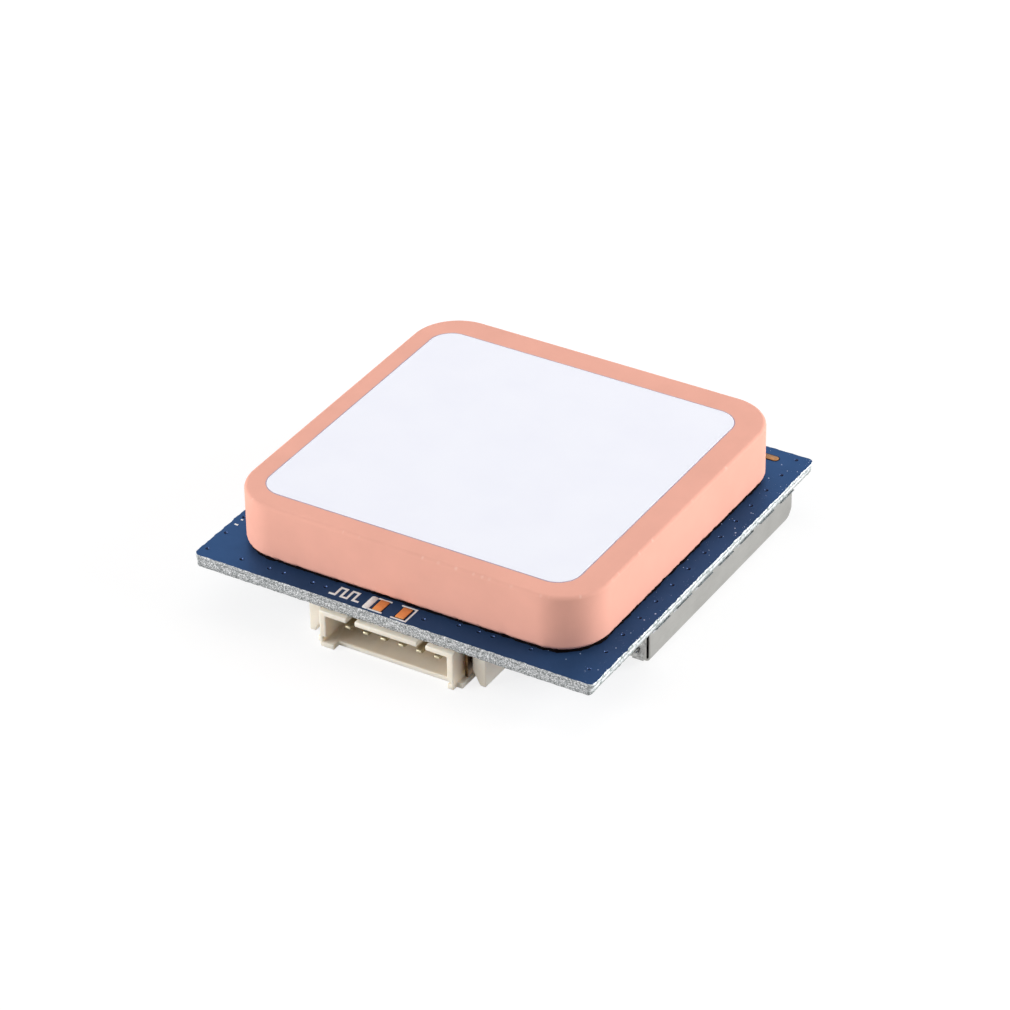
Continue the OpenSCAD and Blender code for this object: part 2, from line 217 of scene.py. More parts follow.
def stroke(bm, points, width, z0, z1):
    """A raised line of even width along flat points, with mitred corners."""
    points = [Vector(p) for p in points]
    left, right = [], []
    for i, p in enumerate(points):
        before = (p - points[i - 1]).normalized() if i else None
        after = (points[i + 1] - p).normalized() if i + 1 < len(points) else None
        a, b = before or after, after or before
        side = Vector((-(a.y + b.y), a.x + b.x)).normalized()
        reach = width / 2 / side.dot(Vector((-a.y, a.x)))
        left.append(p + side * reach)
        right.append(p - side * reach)
    prism(bm, left + right[::-1], lambda p, end: (p.x, p.y, z1 if end else z0))


def piece(name, bm, materials, slot, *stands_for, sharp=SHARP_ANGLE):
    """Turns a mesh into a piece of the part, riding on its body and standing for the named solids."""
    bmesh.ops.recalc_face_normals(bm, faces=bm.faces)
    bmesh.ops.scale(bm, vec=(MM, MM, MM), verts=bm.verts)
    mesh = bpy.data.meshes.new(name)
    bm.to_mesh(mesh)
    bm.free()
    for material in materials:
        mesh.materials.append(material)
    mesh.shade_smooth()
    mesh.set_sharp_from_angle(angle=sharp)
    obj = bpy.data.objects.new(name, mesh)
    bpy.context.scene.collection.objects.link(obj)
    obj.modifiers.new("even_normals", "WEIGHTED_NORMAL").keep_sharp = True
    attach(obj, BODY)
    if stands_for:
        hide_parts(*stands_for)


# Finishes

# Noise seldom leaves this range
NOISE_RANGE = (0.3, 0.7)


def colour(r, g, b):
    """Linear colour of a screen colour given from 0 to 255."""
    def linear(v):
        v /= 255
        return v / 12.92 if v <= 0.04045 else ((v + 0.055) / 1.055) ** 2.4

    return (linear(r), linear(g), linear(b), 1)


def shade(tone, factor):
    """A linear colour made lighter or darker."""
    return (*(min(1, v * factor) for v in tone[:3]), 1)


class Nodes:
    """A tree of shader nodes, with short ways to add to it."""

    def __init__(self, tree):
        self.tree = tree

    def put(self, socket, value):
        """Links another node's output to a socket, or sets the socket's constant."""
        if isinstance(value, bpy.types.NodeSocket):
            self.tree.links.new(value, socket)
        else:
            socket.default_value = value

    def add(self, kind, settings=(), **inputs):
        """A new node of that kind, with its settings and inputs."""
        made = self.tree.nodes.new("ShaderNode" + kind)
        for key, value in dict(settings).items():
            setattr(made, key, value)
        for key, value in inputs.items():
            self.put(made.inputs[key.replace("_", " ")], value)
        return made

    def spread(self, factor, from_low, from_high, low, high):
        """A factor's stretch from one range of numbers to another."""
        ends = {"From_Min": from_low, "From_Max": from_high, "To_Min": low, "To_Max": high}
        return self.add("MapRange", Value=factor, **ends).outputs[0]

    def math(self, operation, *values):
        """A sum on numbers, by the name of its operation."""
        made = self.add("Math", {"operation": operation})
        for socket, value in zip(made.inputs, values):
            self.put(socket, value)
        return made.outputs[0]

    def seen(self):
        """A factor that is 1 for rays from the camera, in a mirror or through glass."""
        path = self.add("LightPath").outputs
        hit = path["Is Camera Ray"]
        for name in ("Is Glossy Ray", "Is Transmission Ray"):
            hit = self.math("MAXIMUM", hit, path[name])
        return hit


class Finish(Nodes):
    """One procedural material."""

    def __init__(self, name, **inputs):
        self.material = bpy.data.materials.new(name)
        self.material.use_nodes = True
        super().__init__(self.material.node_tree)
        self.shader = self.tree.nodes["Principled BSDF"]
        self.place = self.add("TexCoord").outputs["Object"]
        self.set(**inputs)

    def set(self, **inputs):
        """Sets the surface shader's own inputs."""
        for key, value in inputs.items():
            self.put(self.shader.inputs[key.replace("_", " ")], value)

    def noise(self, per_mm, detail=3, stretch=(1, 1, 1)):
        """Soft noise with that many blobs in a millimetre."""
        place = self.add("Mapping", Vector=self.place, Scale=stretch).outputs[0]
        made = self.add("TexNoise", Vector=place, Scale=per_mm * PER_MM, Detail=detail, Roughness=0.55)
        return made.outputs[0]

    def across(self):
        """Place from left to right, in metres."""
        return self.add("SeparateXYZ", Vector=self.place).outputs["X"]

    def ramp(self, factor, *stops):
        """Colours along a factor, where each stop is a position and a colour."""
        made = self.add("ValToRGB", Fac=factor)
        elements = made.color_ramp.elements
        while len(elements) < len(stops):
            elements.new(1)
        for element, (position, tone) in zip(elements, stops):
            element.position = position
            element.color = tone
        return made.outputs[0]

    def waver(self, factor, low, high):
        """Numbers that follow a noise, between low and high."""
        return self.spread(factor, *NOISE_RANGE, low, high)

    def blotches(self, factor, tone, low, high):
        """Shades of a tone that follow a noise, between two shares of its brightness."""
        return self.ramp(factor, *zip(NOISE_RANGE, (shade(tone, low), shade(tone, high))))

    def mix(self, factor, a, b):
        """One colour over another. Its sockets go by number, as others share their names."""
        made = self.add("Mix", {"data_type": "RGBA"})
        for index, value in ((0, factor), (6, a), (7, b)):
            self.put(made.inputs[index], value)
        return made.outputs[2]

    def attribute(self, name):
        """A number kept at each point of the mesh."""
        return self.add("Attribute", {"attribute_name": name}).outputs["Fac"]

    def bump(self, height, depth):
        """Fine relief of that depth in millimetres."""
        self.set(Normal=self.add("Bump", Height=height, Distance=depth * MM, Strength=1).outputs[0])


def mottled(name, screen_tone, vary, per_mm, rough, depth, **inputs):
    """A finish with soft blotches, uneven gloss and fine grain."""
    gloss_finer, grain_finer = 2.3, 5
    f = Finish(name, **inputs)
    f.set(Base_Color=f.blotches(f.noise(per_mm, detail=4), colour(*screen_tone), 1 - vary, 1 + vary))
    f.set(Roughness=f.waver(f.noise(gloss_finer * per_mm), *rough))
    f.bump(f.noise(grain_finer * per_mm, detail=2), depth)
    return f.material


def specks(f, per_mm, reach, rareness, size):
    """Specks of dust, one at most in a cell. Their rareness changes over a reach from left to right."""
    cell = f.add("TexVoronoi", Vector=f.place, Scale=per_mm * PER_MM).outputs
    least = f.spread(f.across(), reach[0] * MM, reach[1] * MM, *rareness)
    radius = f.math("MULTIPLY", f.math("SUBTRACT", cell["Color"], least), size)
    return f.math("LESS_THAN", cell["Distance"], radius)


def mask_finish(name, tone):
    """Blue solder mask over smooth copper, with dust that gathers towards the right edge."""
    f = Finish(name, Specular_IOR_Level=0.1, Specular_Tint=colour(130, 152, 190))
    tint = f.blotches(f.noise(0.12), tone, 0.9, 1.1)
    coarse = specks(f, 4.5, reach=(9, 13.5), rareness=(0.85, 0.55), size=0.65)
    fine = specks(f, 12, reach=(11.5, 13.8), rareness=(0.95, 0.7), size=0.9)
    dust = f.math("MAXIMUM", coarse, fine)
    f.set(Base_Color=f.mix(dust, tint, colour(200, 218, 250)))
    f.set(Metallic=f.spread(dust, 0, 1, 0.45, 0))
    f.set(Roughness=f.waver(f.noise(0.8), 0.42, 0.52))
    f.bump(f.noise(2.2, detail=2), 0.002)
    return f.material


def laminate_finish():
    """Cut glass laminate: light and dark fibre ends, white where it is torn, and painted shade low on its
    edges and in its grooves.
    """
    f = Finish("glass_laminate", Specular_IOR_Level=0.3, Roughness=0.6)
    fibres = [(0.37, colour(72, 76, 76)), (0.5, colour(157, 159, 161)), (0.63, colour(240, 240, 242))]
    # Painted shade: darker tones for the lower part of the board's edges and for its grooves
    painted_shade_tones = [(0.3, colour(90, 98, 96)), (0.7, colour(168, 176, 172))]
    torn = [(0.36, colour(150, 162, 160)), (0.46, colour(228, 234, 236)), (0.56, colour(252, 254, 255))]
    grain = f.noise(11.5, stretch=(1, 1, 1.3))
    base = f.mix(f.attribute("painted_edge_shade"), f.ramp(grain, *fibres), f.ramp(f.noise(5), *painted_shade_tones))
    f.set(Base_Color=f.mix(f.attribute("whiten"), base, f.ramp(f.noise(3.5, detail=4), *torn)))
    f.bump(grain, 0.03)
    return f.material


def ceramic_finish():
    """Fired pink ceramic, fine and matt, paler where it is chipped."""
    f = Finish("pink_ceramic", Specular_IOR_Level=0.0)
    tone = colour(239, 177, 159)
    base = f.blotches(f.noise(0.35, detail=4), tone, 0.965, 1.025)
    pores = f.spread(f.noise(11, detail=2), 0.28, 0.36, 0.9, 1)
    fine = f.mix(pores, shade(tone, 0.9), base)
    f.set(Base_Color=f.mix(f.attribute("chip"), fine, colour(255, 222, 208)))
    f.set(Roughness=f.waver(f.noise(3), 0.5, 0.62))
    f.bump(f.noise(9), 0.004)
    return f.material


def silver_finish():
    """Fired silver paste: pale, smooth and nearly matt."""
    f = Finish("fired_silver", Specular_IOR_Level=0.0)
    f.set(Base_Color=f.blotches(f.noise(0.25, detail=4), colour(245, 246, 255), 0.985, 1.01))
    f.set(Roughness=f.waver(f.noise(6), 0.45, 0.6))
    f.bump(f.noise(14, detail=2), 0.001)
    return f.material


def tin_finish():
    """Rolled tin plate, satin, with faint rolling lines and stains."""
    f = Finish("tin_plate", Metallic=1)
    f.set(Base_Color=f.blotches(f.noise(0.5, detail=4), colour(174, 173, 169), 0.9, 1.05))
    lines = f.noise(1.2, stretch=(1, 1, 14))
    f.set(Roughness=f.waver(lines, 0.3, 0.46))
    f.bump(lines, 0.002)
    return f.material


def nylon_finish():
    """Ivory nylon that lets light in, with painted shade: browner towards the back of the socket's mouth and
    most so on its left.
    """
    f = Finish("ivory_nylon", Subsurface_Weight=0.6, Subsurface_Scale=0.5 * MM, Specular_IOR_Level=0.4)
    f.set(Subsurface_Radius=(1.0, 0.85, 0.7))
    ivory = f.blotches(f.noise(0.9, detail=4), colour(241, 231, 216), 0.95, 1.03)
    leftward = f.spread(f.across(), -4 * MM, 4 * MM, 1, 0.25)
    # Painted shade: brown for the shade inside the socket's mouth, strongest on its left
    shade_share = f.math("MULTIPLY", f.attribute("painted_mouth_shade"), leftward)
    f.set(Base_Color=f.mix(shade_share, ivory, colour(180, 144, 88)))
    f.set(Roughness=f.waver(f.noise(4), 0.4, 0.55))
    f.bump(f.noise(7), 0.004)
    return f.material


MASK = mask_finish("blue_mask", colour(48, 77, 117))
TRACE = mask_finish("mask_over_track", colour(58, 98, 145))
LAMINATE = laminate_finish()
CERAMIC = ceramic_finish()
SILVER = silver_finish()
TIN = tin_finish()
NYLON = nylon_finish()
VIA_WALL = mottled("via_wall", (34, 56, 96), 0.2, 4, (0.12, 0.2), 0.002, Metallic=0.6)
# Near black: painted shade for the hollow of a via, laid on the bottom of its shallow dimple
VIA_HOLE_SHADE = mottled("via_hole_shade", (8, 14, 32), 0.3, 4, (0.5, 0.7), 0.004, Specular_IOR_Level=0.1)
INK = mottled("white_ink", (242, 250, 250), 0.05, 5, (0.5, 0.7), 0.006)
COPPER = mottled("bare_copper", (236, 158, 92), 0.1, 3, (0.3, 0.45), 0.004, Metallic=0.25)
OVAL_METAL = mottled("stained_copper", (152, 104, 58), 0.45, 1.6, (0.25, 0.45), 0.006, Metallic=0.6)
BARE_GAP = mottled("bare_gap", (20, 20, 32), 0.3, 4, (0.6, 0.8), 0.005, Specular_IOR_Level=0.1)
HALO = mottled("paste_edge", (170, 150, 168), 0.1, 4, (0.5, 0.7), 0.002)
# Near black: tone of the tape under the block, and painted shadow where its bead fills the gap below the
# bevel
TAPE_AND_SHADOW = mottled("dark_tape_and_shadow", (12, 7, 9), 0.2, 3, (0.7, 0.9), 0.01, Specular_IOR_Level=0.03)
PIN_METAL = mottled("pin_tin", (184, 176, 150), 0.08, 3, (0.35, 0.5), 0.003, Metallic=1)
# Dark brown: partly the nails' own metal, partly painted shade for the narrow gaps they sit in
NAIL_TIN_AND_GAP_SHADE = mottled("nail_tin_and_gap_shade", (100, 78, 54), 0.5, 3, (0.2, 0.4), 0.004, Metallic=1)
SOLDER = mottled("solder", (196, 198, 204), 0.1, 2, (0.2, 0.4), 0.008, Metallic=1)
FLUXED = mottled("fluxed_solder", (158, 158, 156), 0.5, 2.6, (0.1, 0.2), 0.02, Metallic=1)
CAN_STEEL = mottled("cell_steel", (206, 207, 208), 0.06, 1.5, (0.2, 0.35), 0.003, Metallic=1)
TAB_NICKEL = mottled("tab_nickel", (178, 172, 160), 0.1, 2, (0.3, 0.45), 0.004, Metallic=1)
GASKET = mottled("gasket", (60, 62, 66), 0.15, 4, (0.5, 0.7), 0.004)
MOULDED = mottled("black_moulding", (42, 42, 44), 0.15, 6, (0.45, 0.65), 0.008)
CHIP_TAN = mottled("tan_ceramic", (166, 132, 96), 0.08, 4, (0.35, 0.5), 0.004)
CHIP_DARK = mottled("dark_ferrite", (58, 58, 62), 0.12, 5, (0.35, 0.55), 0.005)
CHIP_WHITE = mottled("white_alumina", (226, 224, 216), 0.05, 5, (0.45, 0.6), 0.004)
GLAZE = mottled("resistor_glaze", (24, 24, 28), 0.2, 5, (0.15, 0.3), 0.003)
TERMINAL = mottled("terminal_tin", (206, 206, 208), 0.08, 4, (0.22, 0.38), 0.005, Metallic=1)


# Board

BOARD_LO, BOARD_HI = box("circuit_board")
BOARD_MIDDLE = (BOARD_LO + BOARD_HI) / 2
TOP_Z, UNDER_Z = BOARD_HI.z, BOARD_LO.z
BOARD_CORNER_R = 0.4
BOARD_SHARP = math.radians(10)
# The board was snapped from its panel, so its left and right edges are rougher and slant in below
SNAP_SLANT = 0.18
SNAP_ROUGH = 0.7
# Share of the torn look and of the painted shade that the front and back edges have
SAWN_SHARE = 0.2
VIA_STEPS = 14
VIA_PITCH = 2
# Radius and height of a via's rings, from its collar down into its dimple
VIA_RINGS = [(0.2, 0.0), (0.165, 0.01), (0.135, 0.008), (0.12, -0.01), (0.085, -0.07)]


def on_board(x, y):
    """A flat place in the part's frame from one about the board's middle."""
    return Vector((x + BOARD_MIDDLE.x, y + BOARD_MIDDLE.y))


def via_places():
    """Stitching vias along the four edges of the board."""
    right = [(12.95, -12.6 + VIA_PITCH * k) for k in range(14)]
    left = [(-13.5, -13.1 + VIA_PITCH * k) for k in range(14)]
    front = [(x, -13.05) for x in (-11.05, -9.04, -7.99, -5.93, -5.0, 1.91)]
    beside_block = [(x, -12.56) for x in (4.05, 5.43, 6.39, 8.98)]
    back = [(-11.4 + VIA_PITCH * k, 13.1) for k in range(11)]
    return [on_board(*p) for p in right + left + front + beside_block + back]


def via(bm, place, z, up, materials):
    """A covered via, with a material for each band and one for its bottom. Returns its outer edges."""
    rings = [ring(bm, circle_loop(place.x, place.y, r, VIA_STEPS), 0, z + up * h) for r, h in VIA_RINGS]
    for outer, inner, material in zip(rings, rings[1:], materials):
        bridge(bm, outer, inner, material)
    bm.faces.new(rings[-1]).material_index = materials[-1]
    return ring_edges(bm, rings[0])


def ragged(per_mm, low, high, seed):
    """An uneven distance along an edge, between low and high."""
    broad, fine, finer, swing = 0.65, 0.35, 3.1, 0.8

    def value(point, normal):
        at = Vector((point.x * per_mm, point.y * per_mm, seed))
        rough = broad * noise.noise(at) + fine * noise.noise(at * finer)
        return low + (high - low) * min(1, max(0, 0.5 + swing * rough))

    return value


def snapped(tear, height):
    """A tear's depth at a share of the board's thickness, for an edge that may be snapped."""
    def value(point, normal):
        share = abs(normal.x)
        return tear(point, normal) * (1 + SNAP_ROUGH * share) + SNAP_SLANT * (1 - height) * share

    return value


def board_piece():
    """The board: a laminate core with torn edges, mask on both faces and covered vias."""
    mask, laminate, wall, hole_shade = 0, 1, 2, 3
    bm = bmesh.new()
    whiten = bm.verts.layers.float.new("whiten")
    painted_edge_shade = bm.verts.layers.float.new("painted_edge_shade")
    loop = rounded_loop(BOARD_LO, BOARD_HI, BOARD_CORNER_R, step=0.09)
    thick = TOP_Z - UNDER_Z
    # Blobs in a millimetre, depth and seed of the tear, share of the thickness, how white it is, and how much
    # painted shade it has
    rows = [
        (2.2, 0.08, 1, 0.0, 0.0, 1.0),
        (2.8, 0.03, 2, 0.1, 0.0, 0.9),
        (3.5, 0.03, 3, 0.25, 0.25, 0.7),
        (4.5, 0.05, 4, 0.38, 0.9, 0.1),
        (4.5, 0.03, 5, 0.54, 1.0, 0.0),
        (4.0, 0.05, 12, 0.63, 0.4, 0.6),
        (3.5, 0.09, 6, 0.7, 0.0, 1.0),
        (4.0, 0.05, 13, 0.78, 0.4, 0.6),
        (2.8, 0.02, 7, 0.87, 1.0, 0.0),
        (2.2, 0.08, 8, 1.0, 1.0, 0.0),
    ]
    rings = []
    for per_mm, depth, seed, height, white, dark in rows:
        tear = ragged(per_mm, 0, depth, seed)
        made = ring(bm, loop, snapped(tear, height), UNDER_Z + thick * height)
        for vert, (point, normal) in zip(made, loop):
            share = SAWN_SHARE + (1 - SAWN_SHARE) * abs(normal.x)
            vert[whiten] = white * share
            # Painted shade on the edge, more on the left and right edges
            vert[painted_edge_shade] = dark * share
        rings.append(made)
    for low, high in zip(rings, rings[1:]):
        bridge(bm, low, high, laminate)
    for rim, z, up in ((rings[0], UNDER_Z, -1), (rings[-1], TOP_Z, 1)):
        edges = ring_edges(bm, rim)
        for place in via_places():
            # The dimple's bottom carries painted shade
            edges += via(bm, place, z, up, (mask, mask, wall, wall, hole_shade))
        bmesh.ops.triangle_fill(bm, use_beauty=True, edges=edges)
    piece("board", bm, [MASK, LAMINATE, VIA_WALL, VIA_HOLE_SHADE], "board", "circuit_board", sharp=BOARD_SHARP)


board_piece()


# Print and pads on the board

INK_T = 0.02
LINE_W = 0.11
MARK_W = 0.15
GAP_T = 0.004
GAP_EDGE = 0.001
# Keeps the two half circles of an oval from meeting
OVAL_SPARE = 0.001


def ink_line(bm, *points, width=LINE_W):
    """A printed line along places about the board's middle."""
    stroke(bm, [on_board(*p) for p in points], width, TOP_Z, TOP_Z + INK_T)


def print_piece():
    """White print: a bracket round each pad, a plain pulse mark beside them, a small white dash and a painted
    glint by a via.
    """
    bm = bmesh.new()
    front, back = -13.8, -12.45
    bar_left, bar_right, left_end = -2.0, -1.55, -0.6
    bar_r, bar_edge = 0.14, 0.008
    low, high = on_board(bar_left, front), on_board(bar_right, back)
    plate(bm, Vector((*low, TOP_Z)), Vector((*high, TOP_Z + INK_T)), bar_r, bar_edge)
    for y in (front + LINE_W / 2, back - LINE_W / 2):
        ink_line(bm, (bar_right, y), (left_end, y))
    right_start, right_end = 0.05, 1.1
    ink_line(bm, (right_start, back), (right_end, back), (right_end, front), (right_start, front))
    foot, crest, first, step, flanks = -13.45, -12.65, -4.5, 0.42, 4
    wave = [(first, foot)]
    for k in range(1, flanks + 1):
        x = first + k * step
        wave += [(x, foot), (x, crest)] if k % 2 else [(x, crest), (x, foot)]
    ink_line(bm, *wave, (first + (flanks + 1) * step, foot), width=MARK_W)
    # A small white dash, and a painted glint just in front of a via on the left edge
    for x, y, length in ((-13.45, -10.03, 0.26), (-13.44, -9.42, 0.14)):
        ink_line(bm, (x - length / 2, y), (x + length / 2, y))
    piece("print", bm, [INK], "board")


def pad_pieces(name, gap_name, node, metal, corner_r, gap, gap_r):
    """Bare pads, and the thin dark plate round each where the mask leaves the board bare."""
    edge_r, room = 0.02, Vector((gap, gap, 0))
    bm = bmesh.new()
    for lo, hi in solids(node):
        plate(bm, lo, hi, corner_r, edge_r)
    piece(name, bm, [metal], "copper", node)
    bm = bmesh.new()
    for lo, hi in solids(node):
        plate(bm, lo - room, Vector((hi.x, hi.y, lo.z + GAP_T)) + room, gap_r, GAP_EDGE)
    piece(gap_name, bm, [BARE_GAP], "board")


print_piece()
pad_pieces("pads", "pad_gaps", "indicator_pads", COPPER, corner_r=0.05, gap=0.07, gap_r=0.06)
OVAL_LO, OVAL_HI = box("edge_pad")
OVAL_R = (OVAL_HI.y - OVAL_LO.y) / 2 - OVAL_SPARE
OVAL_GAP = 0.08
pad_pieces("oval_pad", "oval_pad_gap", "edge_pad", OVAL_METAL, OVAL_R, OVAL_GAP, OVAL_R + OVAL_GAP)


# Antenna

CERAMIC_R = 3.2
CERAMIC_EDGE_R = 0.25
CERAMIC_BEVEL = 0.35
ELECTRODE_R = 1.5


def chips_along(length, count, seed, depth, widths):
    """Chips on an edge of that length, each with a place, a half width and a depth."""
    draw = random.Random(seed)
    depths = (0.2, 1)
    return [
        (draw.uniform(0, length), draw.uniform(*widths), draw.uniform(*depths) * depth) for _ in range(count)
    ]


def chip_at(chips, place, length):
    """Depth of the deepest chip at a place along an edge."""
    deepest = 0
    for middle, half, depth in chips:
        away = abs(place - middle)
        away = min(away, length - away) / half
        if away < 1:
            deepest = max(deepest, depth * (1 - away * away))
    return deepest


def ceramic_rows(height):
    """Rows of the block's skin: inset, height, and share of the upper and of the lower chips."""
    soft, side, below_edge, flights, turns = 0.03, CERAMIC_BEVEL + 0.12, 0.13, 4, 8
    rim_in, flat_in = CERAMIC_EDGE_R + 0.2, 1.2
    rows = [
        (CERAMIC_BEVEL, 0, 0, 1),
        (CERAMIC_BEVEL / 2, CERAMIC_BEVEL / 2, 0, 0.7),
        (soft, CERAMIC_BEVEL - soft, 0, 0.8),
        (0, CERAMIC_BEVEL + soft, 0, 0.6),
        (0, side, 0, 0),
    ]
    upright = height - side - CERAMIC_EDGE_R - below_edge
    rows += [(0, side + upright * k / flights, 0, 0) for k in range(1, flights + 1)]
    for k in range(turns + 1):
        angle = math.radians(90 * k / turns)
        inset = CERAMIC_EDGE_R * (1 - math.cos(angle))
        z = height - CERAMIC_EDGE_R * (1 - math.sin(angle))
        rows.append((inset, z, max(0, math.sin(2 * angle)) ** 3, 0))
    return rows + [(rim_in, height, 0, 0), (flat_in, height, 0, 0)]


def ceramic_piece():
    """The block: round corners, a soft upper edge and a bevelled lower one, both finely chipped."""
    lo, hi = box("antenna_ceramic")
    loop = rounded_loop(lo, hi, CERAMIC_R, step=0.07)
    length = sum((b[0] - a[0]).length for a, b in zip(loop, loop[1:] + loop[:1]))
    upper = chips_along(length, count=30, seed=5, depth=0.02, widths=(0.04, 0.14))
    lower = chips_along(length, count=120, seed=9, depth=0.045, widths=(0.08, 0.35))
    sag, lift, palest, pale_depth = 0.6, 0.4, 0.45, 0.05
    bm = bmesh.new()
    chip = bm.verts.layers.float.new("chip")
    rings = []
    for inset, z, top_share, low_share in ceramic_rows(hi.z - lo.z):
        place, made = 0, []
        for i, (point, normal) in enumerate(loop):
            place += (point - loop[i - 1][0]).length if i else 0
            top_cut = top_share * chip_at(upper, place, length)
            low_cut = low_share * chip_at(lower, place, length)
            flat = point - normal * (inset + top_cut + low_cut)
            vert = bm.verts.new((*flat, lo.z + z - sag * top_cut + lift * low_cut))
            vert[chip] = min(palest, top_cut / pale_depth)
            made.append(vert)
        rings.append(made)
    skin(bm, rings)
    piece("ceramic", bm, [CERAMIC], "ceramic", "antenna_ceramic")


def electrode_piece():
    """The electrode: a thin sheet with a low bead round it, and the stained line at its edge."""
    lo, hi = box("antenna_electrode")
    loop = rounded_loop(lo, hi, ELECTRODE_R, step=0.08)
    # Inset from the edge, and height above the sheet's top
    bead = [(0.005, -0.005), (0.03, 0.006), (0.08, 0.008), (0.14, 0), (0.3, 0)]
    bm = bmesh.new()
    stack(bm, loop, [(0, lo.z)] + [(inset, hi.z + rise) for inset, rise in bead])
    piece("electrode", bm, [SILVER], "silver", "antenna_electrode")
    stain_t = 0.004
    bm = bmesh.new()
    flat_band(bm, loop, ragged(1.5, -0.09, -0.05, 11), 0, lo.z, lo.z + stain_t)
    piece("electrode_edge", bm, [HALO], "silver")


def adhesive_piece():
    """Dark adhesive pressed out from under the block into the gap below its bevel. It also stands in as
    painted shadow in that gap, reaching further out on the left and right.
    """
    lo, hi = box("antenna_ceramic")
    loop = rounded_loop(lo, hi, CERAMIC_R, step=0.1)
    edge, root, rise, crown = ragged(1.3, 0.17, 0.36, 21), CERAMIC_BEVEL + 0.3, 0.1, 0.16
    # The bead reaches further out on the left and right sides, to widen the painted shadow there
    shadow_side_reach, lean, crown_in = 0.08, 0.02, 0.1

    def behind(setback):
        return lambda point, normal: setback + edge(point, normal) - shadow_side_reach * abs(normal.x)

    bm = bmesh.new()
    hoop(bm, loop, [
        (root, TOP_Z),
        (behind(0), TOP_Z),
        (behind(lean), TOP_Z + rise),
        (behind(crown_in), TOP_Z + crown),
        (root, TOP_Z + rise),
    ])
    piece("adhesive_and_shadow_bead", bm, [TAPE_AND_SHADOW], "tape")


ceramic_piece()
electrode_piece()
adhesive_piece()


# Shield can, socket and other bent or moulded metal and plastic

CAN_EDGE, SOCKET_EDGE, PIN_EDGE, TAB_EDGE = 0.045, 0.08, 0.03, 0.025
ROUNDER = 3


def softened_piece(name, node, width, material, slot, steps=2):
    """A solid with its edges rounded off."""
    piece(name, round_edges(solid_copy(node), width, steps), [material], slot, node)


def socket_piece():
    """The socket's housing, with rounded edges. Points in its mouth carry a share of painted shade that grows
    towards the back of the mouth.
    """
    lo, hi = box("connector_housing")
    middle_x = (lo.x + hi.x) / 2
    # The left inner wall is left out of the painted shade, as it stays pale where light comes through it
    from_left, to_right = -4.1, 4.55
    mouth_depth, wall = 3.2, 0.3
    bm = round_edges(solid_copy("connector_housing"), SOCKET_EDGE, ROUNDER)
    # Share of painted shade for each point in the mouth, rising towards its back
    painted_mouth_shade = bm.verts.layers.float.new("painted_mouth_shade")
    for vert in bm.verts:
        x, y, z = vert.co
        inside = from_left < x - middle_x < to_right and lo.z + wall < z < hi.z - wall
        vert[painted_mouth_shade] = max(0, 1 - abs((y - lo.y) / mouth_depth - 1)) if inside else 0
    piece("socket", bm, [NYLON], "nylon", "connector_housing")


softened_piece("can", "shield_can", CAN_EDGE, TIN, "tinned_steel", ROUNDER)
socket_piece()
# The nails' dark tone is partly painted shade for the gaps beside the socket's ends
for side in ("left", "right"):
    softened_piece("nail_" + side, "fitting_nail_" + side, PIN_EDGE, NAIL_TIN_AND_GAP_SHADE, "tinned_steel")
CONTACTS = sorted(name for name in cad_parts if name.startswith("contact_"))
for contact in CONTACTS:
    softened_piece("pin_" + contact[-1], contact, PIN_EDGE, PIN_METAL, "contact_metal")
for end in ("base", "cap"):
    softened_piece("tab_" + end, "cell_tab_" + end, TAB_EDGE, TAB_NICKEL, "tinned_steel")


# Parts on the underside

# Section of solder in a corner, as shares of its reach along the board and its depth below it
FILLET = [(0, 0), (1, 0), (0.62, 0.1), (0.32, 0.3), (0.12, 0.6), (0, 1)]
# Section of the regulator's bent leads, out from the body's side and down from the board
LEAD_REACH, LEAD_T = 0.9, 0.15
LEAD = [
    (0, 0.45), (0.16, 0.45), (0.34, 0), (LEAD_REACH, 0),
    (LEAD_REACH, LEAD_T), (0.44, LEAD_T), (0.26, 0.6), (0, 0.6),
]
LEAD_W = 0.4
LEAD_PITCH = 0.95
# Section of the diode's shorter leads
SHORT_REACH = 0.22
SHORT_LEAD = [(0, 0.3), (0.08, 0.3), (0.1, 0), (SHORT_REACH, 0), (SHORT_REACH, 0.1), (0.18, 0.42), (0, 0.42)]
SHORT_LEAD_W = 0.55
# A step longer than any chip, so that each straight side of its loop is one edge
WHOLE_SIDE = 10
CELL_STEPS = 64
SMALL_STEPS = 20


def section(bm, outline, middle, out, width, scale=(1, 1), material=0):
    """A section of given width that points away from a face, from a flat place on that face."""
    across = Vector((-out.y, out.x))

    def place(p, end):
        flat = middle + out * (p[0] * scale[0]) + across * (width * (end - 0.5))
        return (flat.x, flat.y, UNDER_Z - p[1] * scale[1])

    prism(bm, outline, place, material)


